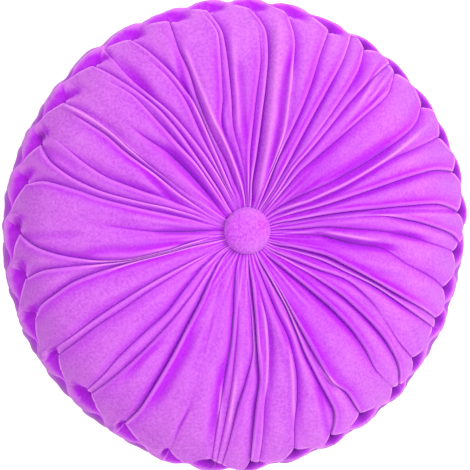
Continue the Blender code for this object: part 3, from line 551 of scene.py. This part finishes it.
def furrow_relief(q, t):
    """Where a petal runs into the next lens without an edge, a furrow with a soft ridge, and the
    furrow's painted shade.
    """
    _, coming, f = lens_of(q)
    before, low, soft = coming[..., 0], coming[..., 2], coming[..., 4]
    far = (1 - f) / before
    out = t - (FURROW_AT + (low - FURROW_AT) * far)
    fade = soft * smooth(far, 0.0, FURROW_FULL) * (1 - smooth(far, *FURROW_END))
    deep = fade * np.exp(-(out / FURROW_WIDE) ** 2)
    ridge = fade * np.exp(-((out - 2 * FURROW_WIDE) / RIDGE_WIDE) ** 2)
    return RIDGE_UP * ridge - FURROW_IN * deep, deep


def strand_relief(q, t):
    """The strands' crossings between the two rows of tips, and the stitched corners."""
    pitch = 2 * math.pi * BAND_R / PITCHES
    inside = smooth(t, CROSS_TOP - CROSS_ABOVE, CROSS_TOP + CROSS_BELOW)
    inside = inside * smooth(1 - t, CROSS_TOP - CROSS_ABOVE, CROSS_TOP + CROSS_BELOW)
    askew = 0.5 + 0.5 * (t - CROSS_TOP) / (0.5 - CROSS_TOP)    # half a pleat, one at the middle
    past = (q - askew) - np.floor(q - askew)
    over = np.exp(-past * pitch / CROSS_WIDE)
    under = np.exp(-(1 - past) * pitch / CROSS_UNDER)
    other = (q + askew) - np.round(q + askew)
    relief = -inside * (CROSS_IN * np.maximum(over, under)
                        + CROSS_SOFT_IN * np.exp(-(other * pitch / CROSS_SOFT_WIDE) ** 2))
    for at, step, depth, wide, tall in STITCHES:
        off = (q + step) - np.round(q + step)
        for place in {at, 1 - at}:      # both rings' rows; the middle row is one
            relief = relief - depth * np.exp(-(off / wide) ** 2 - ((t - place) / tall) ** 2)
    return relief


# The painted shade and highlight follow how far the cloth stands under or over its own
# level. The level is the mean over a reach (m), and a span of height shows fully.
PASSES = 90
SHADE_REACH, SHADE_SPAN = 0.0045, 0.0022
LIP_REACH, LIP_SPAN = 0.0009, 0.0004
SIDE_SHADE_FROM = (0.10, 0.26)      # painted shade greys the side from here down the band
# The face's rim gets a little of this painted shade too, most toward its left and right.
RIM_SHADE, RIM_SHADE_MORE, RIM_SHADE_TO, RIM_SHADE_FROM = 0.28, 0.22, math.radians(10), (0.84, 1.0)
# Painted shade on one side of the dish: deeper toward this angle, most near the hub.
SHADED_SIDE_TO, SHADED_SIDE, SHADED_SIDE_MORE = math.radians(15), 0.42, 0.20
SHADED_SIDE_FADE = (0.10, 0.70)


def seated(x, y, z, seat_x, seat_y):
    """Flatten the cloth under a button and let the petals rise from its edge."""
    away = np.hypot(x - seat_x, y - seat_y)
    lift = smooth(away, BUTTON_R - SEAT_TUCK, BUTTON_R + SEAT_EDGE)
    free = smooth(away, BUTTON_R - SEAT_IN, BUTTON_R + SEAT_OUT)
    low = np.minimum(z, SEAT) * (1 - free) + z * free
    return np.where(away < BUTTON_R + SEAT_OUT, SEAT + (np.maximum(low, SEAT) - SEAT) * lift, z)


def run_of(way):
    """The distance (m) along the section from the front ring to a way."""
    faces = np.minimum(way - 1, 0) + np.maximum(way - 2, 0)
    return BAND_LONG * np.clip(way - 1, 0, 1) + FACE_R * faces


def way_of(run):
    """The way at a distance (m) along the section from the front ring."""
    band = 1.0 + np.clip(run / BAND_LONG, 0.0, 1.0)
    return band + (np.minimum(run, 0.0) + np.maximum(run - BAND_LONG, 0.0)) / FACE_R


def with_lenses(rise, deep_shade, q, run):
    """The relief and the painted shade with the lenses and furrows at both rings added.

    Also the painted shade in the pockets, and how far (m) each place moves down the band,
    because the rows follow the zigzag.
    """
    edge = zigzag(q)
    fade_in, fade_out = EDGE_FADE
    drop, pocket_shade = np.zeros_like(NOMINAL), np.zeros_like(NOMINAL)
    for sign, near in ((1, run), (-1, BAND_LONG - run)):
        follow = np.where(near < 0, smooth(near, -fade_in, 0.0), np.clip(1 - near / fade_out, 0, 1))
        moved = near + BAND_LONG * edge * follow
        drop = drop + sign * (moved - near)
        lens, lens_shade, lens_pocket_shade = lens_relief(q, moved / BAND_LONG - edge)
        furrow, furrow_shade = furrow_relief(q, moved / BAND_LONG)
        rise = rise + lens + furrow
        deep_shade = deep_shade + lens_shade + furrow_shade
        pocket_shade = pocket_shade + lens_pocket_shade
    return rise, deep_shade, pocket_shade, drop


def placed(angle, way, rise, q):
    """The cover's points: the section pushed out by the relief, uneven, leaning and seated."""
    radius, height = curve(column(SECTION, 1), way), curve(column(SECTION, 2), way)
    ahead, behind = way + WAY_STEP, way - WAY_STEP
    along_r = curve(column(SECTION, 1), ahead) - curve(column(SECTION, 1), behind)
    along_z = curve(column(SECTION, 2), ahead) - curve(column(SECTION, 2), behind)
    long = np.hypot(along_r, along_z)
    middle = np.clip(1.0 - 2.0 * np.abs(WAY - 1.5), 0.0, 1.0)
    uneven = (1 - MIDDLE_EVEN * middle) * SHARE ** UNEVEN_POWER
    reach = 1.0 + (ring_reach(q) - 1.0) * uneven[:, None]
    radius = radius * reach - rise * along_z / long
    z = height + rise * along_r / long
    pull = (1.0 - SHARE)[:, None] * IS_FACE[:, None]
    level = LEAN_HUB * (1 - SHARE) + LEAN_RIM * SHARE
    lean = (LEAN * (HEIGHT - level) * IS_FACE)[:, None]
    x = HUB_X * pull + radius * np.cos(angle) * OVAL + lean * math.cos(LEAN_TO) - CENTRE_X
    y = HUB_Y * pull + radius * np.sin(angle) + lean * math.sin(LEAN_TO) - CENTRE_Y
    top = seated(x, y, z, BUTTON_X - CENTRE_X, BUTTON_Y - CENTRE_Y)
    under = -seated(x, y, -z, -CENTRE_X, -CENTRE_Y)
    z = np.where(WAY[:, None] < 1.5, top, under)
    z = np.maximum(MID_Z + z, 0.0)    # what would be under the floor is pressed flat by it
    return np.stack([x, y, z], axis=2)


def painted_side_shade(t):
    """How much painted shade greys the side band and the rim, from how far down the band a place is.
    """
    side = smooth(t, *SIDE_SHADE_FROM) * smooth(1 - t, *SIDE_SHADE_FROM)
    rim = RIM_SHADE + RIM_SHADE_MORE * np.cos(2 * (NOMINAL - RIM_SHADE_TO))
    return np.maximum(side, rim * smooth(SHARE, *RIM_SHADE_FROM)[:, None])


def cover_points():
    """The cover's grid of points, its relief, and three tones of painted shade.

    The tones are the painted shade in valleys, creases, lenses and toward the hub, the darker
    painted shade in a pocket, and the painted shade that greys the side.
    """
    rise, shift, deep_shade = fold_relief()
    q = pinch_count(NOMINAL)
    run = run_of(WAY)[:, None]
    down = np.minimum(run, BAND_LONG - run) / BAND_LONG
    folded = 1 - smooth(down, 0.0, FOLDS_END)
    angle = NOMINAL + shift * folded / RADIUS[:, None]
    rise, deep_shade, pocket_shade, drop = with_lenses(rise * folded, deep_shade, q, run)
    run = run + drop
    soft, soft_shade = soft_relief(angle)
    # Painted shade, deeper toward the hub.
    deep_shade = deep_shade + soft_shade + SHADE_HUB * (1 - SHARE)[:, None]
    rise = rise + soft + strand_relief(q, run / BAND_LONG)
    rise = rise + sum(high * wrinkle_noise(*cells) for high, *cells in WRINKLES)
    points = placed(angle, way_of(run), rise, q)
    return points, rise, (deep_shade, pocket_shade, painted_side_shade(run / BAND_LONG))


def dish_side_shaded(deep_shade):
    """The painted shade, deeper on one side of the dish, most near the middle."""
    along = np.cos(NOMINAL - SHADED_SIDE_TO) * IS_FACE[:, None]
    near = (1 - smooth(SHARE, *SHADED_SIDE_FADE))[:, None]
    return deep_shade * (1 + SHADED_SIDE_MORE * along) + SHADED_SIDE * near * np.maximum(along, 0.0)


def local_level(rise, points, reach):
    """The relief smoothed over a reach, round the cushion and along its section."""
    level = rise.copy()
    share = []
    for axis in (0, 1):
        steps = np.linalg.norm(np.gradient(points, axis=axis), axis=2)
        share.append(np.minimum(0.5, (reach / np.maximum(steps, 1e-5)) ** 2 / PASSES))
    for _ in range(PASSES):
        level += share[1] * (0.5 * (np.roll(level, 1, 1) + np.roll(level, -1, 1)) - level)
        inside = 0.5 * (level[2:] + level[:-2]) - level[1:-1]
        level[1:-1] += share[0][1:-1] * inside
    return level


def ring_quads(rings, columns):
    """The faces between rings of points that close on themselves."""
    r, c = np.meshgrid(np.arange(rings - 1), np.arange(columns), indexing="ij")
    a = r * columns + c
    b = r * columns + (c + 1) % columns
    return np.stack([a, a + columns, b + columns, b], axis=2).reshape(-1, 4).tolist()


def smooth_object(name, verts, faces):
    """A smooth-shaded mesh object, in the scene."""
    mesh = bpy.data.meshes.new(name)
    mesh.from_pydata(verts, [], faces)
    mesh.shade_smooth()
    thing = bpy.data.objects.new(name, mesh)
    bpy.context.scene.collection.objects.link(thing)
    return thing


def cover_object():
    """The whole cover as one mesh, with its painted shade and painted highlight as attributes."""
    grid, rise, (deep_shade, pocket_shade, side_shade) = cover_points()
    faces = ring_quads(*grid.shape[:2])
    thing = smooth_object("cushion_cover", grid.reshape(-1, 3).tolist(), faces)
    # Painted shade where the cloth lies under its local level; painted shade in fine creases and a
    # painted sheen highlight on fine lips.
    recess_shade = (local_level(rise, grid, SHADE_REACH) - rise) / SHADE_SPAN
    crease_shade_lip_sheen = 0.5 + (rise - local_level(rise, grid, LIP_REACH)) / (2 * LIP_SPAN)
    for name, values in (("deep_shade", dish_side_shaded(np.maximum(deep_shade, recess_shade))), ("lip", crease_shade_lip_sheen),
                         ("side_shade", side_shade), ("pocket_shade", pocket_shade)):
        tone = thing.data.attributes.new(name, "FLOAT", "POINT")
        tone.data.foreach_set("value", np.clip(values, 0, 1).reshape(-1).astype(np.float32))
    return thing


# ---- covered buttons --------------------------------------------------------------
#          share of the radius, height
BUTTON = ((0.00, 0.0093), (0.18, 0.0092), (0.36, 0.0089), (0.52, 0.0084), (0.66, 0.0077),
          (0.78, 0.0068), (0.88, 0.0057), (0.95, 0.0045), (0.99, 0.0032), (1.00, 0.0022),
          (0.97, 0.0012), (0.92, 0.0006), (0.80, 0.0003), (0.40, 0.0000), (0.00, 0.0000))
BUTTON_STEPS = 128
# Its cloth waves a little toward the edge: how high (m), how often, from where, and a power.
WAVE_UP, WAVES, WAVE_START, WAVE_POWER = 0.00012, 9, 2.0, 6


def button(name, x, y, z, turn):
    """A velvet-covered button: a softly domed turned shell."""
    turns = np.linspace(0, 2 * math.pi, BUTTON_STEPS, endpoint=False)
    verts = []
    for share, height in BUTTON[1:-1]:
        for a in turns:
            wave = WAVE_UP * math.sin(WAVES * a + WAVE_START) * share ** WAVE_POWER
            verts.append((share * BUTTON_R * math.cos(a), share * BUTTON_R * math.sin(a),
                          height + wave))
    low = len(verts) - BUTTON_STEPS
    top, foot = len(verts), len(verts) + 1
    verts += [(0, 0, BUTTON[0][1]), (0, 0, BUTTON[-1][1])]
    faces = ring_quads(len(BUTTON) - 2, BUTTON_STEPS)
    for c in range(BUTTON_STEPS):
        d = (c + 1) % BUTTON_STEPS
        faces += [(c, d, top), (low + d, low + c, foot)]
    thing = smooth_object(name, verts, faces)
    thing.location = (x - CENTRE_X, y - CENTRE_Y, z)
    thing.rotation_euler = (turn, 0, 0)
    return thing


# ---- materials ----------------------------------------------------------------------
class Nodes:
    """Short hands for a material's node tree."""

    def __init__(self, name):
        self.material = bpy.data.materials.new(name)
        self.material.use_nodes = True
        self.tree = self.material.node_tree
        self.shader = self.tree.nodes["Principled BSDF"]

    def add(self, kind, **settings):
        node = self.tree.nodes.new(kind)
        for key, value in settings.items():
            setattr(node, key, value)
        return node

    def link(self, out, into):
        self.tree.links.new(out, into)

    def noise(self, scale, detail, rough):
        place = self.add("ShaderNodeTexCoord")
        noise = self.add("ShaderNodeTexNoise")
        noise.inputs["Scale"].default_value = scale
        noise.inputs["Detail"].default_value = detail
        noise.inputs["Roughness"].default_value = rough
        self.link(place.outputs["Object"], noise.inputs["Vector"])
        return noise.outputs["Fac"]

    def math(self, kind, a, b, c=0.0, clamp=False):
        node = self.add("ShaderNodeMath", operation=kind, use_clamp=clamp)
        for socket, value in zip(node.inputs, (a, b, c)):
            if isinstance(value, (int, float)):
                socket.default_value = value
            else:
                self.link(value, socket)
        return node.outputs[0]

    def share_of(self, value, low, high):
        """How far a value is on its way from low to high, kept between 0 and 1."""
        scale = 1.0 / (high - low)
        return self.math("MULTIPLY_ADD", value, scale, -low * scale, True)

    def tone(self, name):
        """One of the cover's attributes."""
        return self.add("ShaderNodeAttribute", attribute_name=name).outputs["Fac"]

    def blend(self, fac, low, high):
        node = self.add("ShaderNodeMix", data_type="RGBA")
        self.link(fac, node.inputs["Factor"])
        for socket, value in ((node.inputs["A"], low), (node.inputs["B"], high)):
            if isinstance(value, tuple):
                socket.default_value = value
            else:
                self.link(value, socket)
        return node.outputs["Result"]

    def bump(self, height, strength, distance, after=None):
        node = self.add("ShaderNodeBump")
        node.inputs["Strength"].default_value = strength
        node.inputs["Distance"].default_value = distance
        self.link(height, node.inputs["Height"])
        if after is not None:
            self.link(after, node.inputs["Normal"])
        return node.outputs["Normal"]


# Colours of the pile: spread flat, where it opens lighter, painted shade on the side, in a
# valley, in a crease's bottom and in a pocket, a painted sheen highlight on a fold's lip, and its
# paler tips.
PILE = (0.450, 0.077, 0.580, 1.0)
PILE_CLOUD = (0.500, 0.116, 0.595, 1.0)
PILE_SIDE_SHADE = (0.280, 0.070, 0.390, 1.0)
PILE_VALLEY_SHADE = (0.435, 0.006, 0.700, 1.0)
PILE_CREASE_SHADE = (0.380, 0.011, 0.600, 1.0)
PILE_POCKET_SHADE = (0.130, 0.004, 0.270, 1.0)
PILE_LIP_SHEEN = (0.760, 0.235, 0.820, 1.0)
PILE_TIP = (0.830, 0.250, 0.980, 1.0)
BUTTON_PILE = (0.480, 0.022, 0.680, 1.0)
SHEEN = (1.0, 0.55, 0.95, 1.0)
# Soft clouds and fine flecks: how many to the metre, detail and roughness. Both go from
# none to full over this span of their noise.
CLOUDS, GRAIN = (40, 3, 0.6), (480, 2, 0.7)
NOISE_SPAN = (1 / 3, 2 / 3)
GRAIN_SHOWS = 0.42       # how much the flecks change the colour
GRAIN_STANDS = 0.15      # share of the painted shade that they stand out of
LEVEL = 0.5              # the lip tone of cloth that stands at its own level
#       to the metre, detail, roughness, strength, height (m)
NAPS = ((1400, 2, 0.6, 0.35, 0.0004), (160, 3, 0.5, 0.25, 0.0010))


def velvet(name, flat_pile, sewn):
    """The velvet. Only the sewn cover has the tones of painted shade and painted highlight."""
    m = Nodes(name)
    m.shader.inputs["Roughness"].default_value = 0.85
    m.shader.inputs["Specular IOR Level"].default_value = 0.15
    m.shader.inputs["Sheen Weight"].default_value = 0.55
    m.shader.inputs["Sheen Roughness"].default_value = 0.40
    m.shader.inputs["Sheen Tint"].default_value = SHEEN
    clouds = m.share_of(m.noise(*CLOUDS), *NOISE_SPAN)
    fleck = m.share_of(m.noise(*GRAIN), *NOISE_SPAN)
    colour = m.blend(clouds, flat_pile, PILE_CLOUD)
    colour = m.blend(m.math("MULTIPLY", fleck, GRAIN_SHOWS), colour, PILE_TIP)
    if sewn:
        # Painted shade greys the side band and the rim.
        colour = m.blend(m.tone("side_shade"), colour, PILE_SIDE_SHADE)
        lip = m.tone("lip")
        # Painted shade in valleys, lenses and toward the hub; the flecks stand out of some of it.
        kept = m.math("MULTIPLY_ADD", fleck, -GRAIN_STANDS, 1.0)
        colour = m.blend(m.math("MULTIPLY", m.tone("deep_shade"), kept), colour, PILE_VALLEY_SHADE)
        # Painted shade in fine creases, and a painted sheen highlight on the lips.
        colour = m.blend(m.share_of(lip, LEVEL, 0.0), colour, PILE_CREASE_SHADE)
        colour = m.blend(m.share_of(lip, LEVEL, 1.0), colour, PILE_LIP_SHEEN)
        # Painted shade in the lens pockets.
        colour = m.blend(m.tone("pocket_shade"), colour, PILE_POCKET_SHADE)
    m.link(colour, m.shader.inputs["Base Color"])
    normal = None
    for scale, detail, rough, strength, height in NAPS:
        normal = m.bump(m.noise(scale, detail, rough), strength, height, normal)
    m.link(normal, m.shader.inputs["Normal"])
    return m.material


FLOOR_WHITE, FLOOR_ROUGH = (0.93, 0.93, 0.94, 1.0), 0.9
SPECKS, SPECK_LIGHT = (300, 3, 0.5), 1.03      # faint specks on it, and how much lighter
FLOOR_GLOW = 0.45        # the white sweep is lit from below


def floor_white():
    m = Nodes("floor_white")
    lighter = tuple(min(1.0, part * SPECK_LIGHT) for part in FLOOR_WHITE)
    colour = m.blend(m.noise(*SPECKS), FLOOR_WHITE, lighter)
    m.link(colour, m.shader.inputs["Base Color"])
    m.shader.inputs["Roughness"].default_value = FLOOR_ROUGH
    m.shader.inputs["Specular IOR Level"].default_value = 0.1
    m.shader.inputs["Emission Color"].default_value = (1.0, 1.0, 1.0, 1.0)
    m.shader.inputs["Emission Strength"].default_value = FLOOR_GLOW
    return m.material


# ---- build --------------------------------------------------------------------------
cover = cover_object()
cover.data.materials.append(velvet("velvet_cover", PILE, True))
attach(cover, "root")
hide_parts("cushion")

cloth = velvet("velvet_button", BUTTON_PILE, False)
for name, node, x, y, z, turn in (
        ("covered_button_front", "front_button", BUTTON_X, BUTTON_Y, MID_Z + SEAT + BUTTON_GAP, 0.0),
        ("covered_button_back", "back_button", 0.0, 0.0, MID_Z - SEAT - BUTTON_GAP, math.pi)):
    piece = button(name, x, y, z, turn)
    piece.data.materials.append(cloth)
    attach(piece, "root")
    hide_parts(node)

# ---- floor, light, camera --------------------------------------------------------------
FLOOR_HALF, FLOOR_Z = 4.0, -0.0005    # its top is just under the cushion
floor_mesh = bpy.data.meshes.new("floor")
floor_mesh.from_pydata([(x * FLOOR_HALF, y * FLOOR_HALF, FLOOR_Z)
                        for x, y in ((-1, -1), (1, -1), (1, 1), (-1, 1))], [], [(0, 1, 2, 3)])
floor = bpy.data.objects.new("floor", floor_mesh)
floor_mesh.materials.append(floor_white())
bpy.context.scene.collection.objects.link(floor)

SKY = 1.09               # strength of the even white light from all round
world = bpy.data.worlds.new("studio")
world.use_nodes = True
world.node_tree.nodes["Background"].inputs["Color"].default_value = (1.0, 1.0, 1.0, 1.0)
world.node_tree.nodes["Background"].inputs["Strength"].default_value = SKY
bpy.context.scene.world = world

KEY_POWER, KEY_SIZE = 21.0, 0.9       # one soft light from the upper right (W, m)
KEY_PLACE = (1.3, 0.6, 1.4)
lamp = bpy.data.lights.new("key", "AREA")
lamp.energy = KEY_POWER
lamp.size = KEY_SIZE
key = bpy.data.objects.new("key", lamp)
key.location = KEY_PLACE
away = np.array(KEY_PLACE, float)
away /= np.linalg.norm(away)
# Turned to look at the cushion:
key.rotation_euler = (math.acos(away[2]), 0.0, math.atan2(away[0], -away[1]))
bpy.context.scene.collection.objects.link(key)

camera_data = bpy.data.cameras.new("camera")
camera = bpy.data.objects.new("camera", camera_data)
flat = math.sin(CAMERA_TILT)
toward = np.array([flat * math.cos(CAMERA_FROM), flat * math.sin(CAMERA_FROM),
                   math.cos(CAMERA_TILT)])
up = np.array([0.0, 1.0, 0.0]) - toward * toward[1]
up /= np.linalg.norm(up)
right = np.cross(up, toward)
stand = np.array([0.0, 0.0, MID_Z]) + right * AIM_RIGHT + toward * CAMERA_AWAY
camera.matrix_world = Matrix([[right[k], up[k], toward[k], stand[k]] for k in range(3)]
                             + [[0, 0, 0, 1]])
camera_data.sensor_width = SENSOR
camera_data.lens = SENSOR * CAMERA_AWAY / VIEW_WIDTH
camera_data.clip_end = 20.0
bpy.context.scene.collection.objects.link(camera)
bpy.context.scene.camera = camera
bpy.context.scene.view_settings.view_transform = "Standard"
